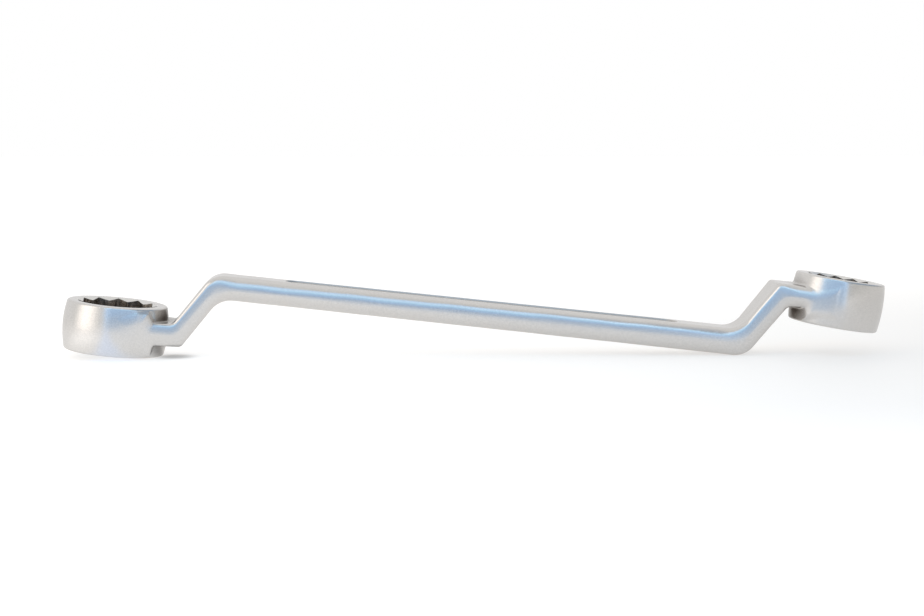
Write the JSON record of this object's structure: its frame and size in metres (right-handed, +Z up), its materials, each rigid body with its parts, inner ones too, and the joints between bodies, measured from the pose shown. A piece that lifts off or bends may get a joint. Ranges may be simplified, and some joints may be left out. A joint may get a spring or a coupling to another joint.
{
  "type": "offset ring spanner",
  "caption": "Offset ring spanner: flat forged bar, cranked at both ends, with a multi-point through-socket ring at each end for turning hexagon nuts and bolt heads.",
  "frame": {"origin": "on the bench plane, under the middle of the tool's bounding box", "axes": "+X along the tool from the large ring to the small ring, +Z up from the bench. The tool lies at rest, tilted about Y, on the large ring's lower rim and on the bend next to the small ring."},
  "size_m": [0.3308, 0.0418, 0.0333],
  "materials": {
    "satin_chrome": "satin chrome plating on forged steel, blasted matt, duller inside the sockets"
  },
  "bodies": {
    "root": {"ring_spanner": "satin_chrome"}
  },
  "joints": []
}
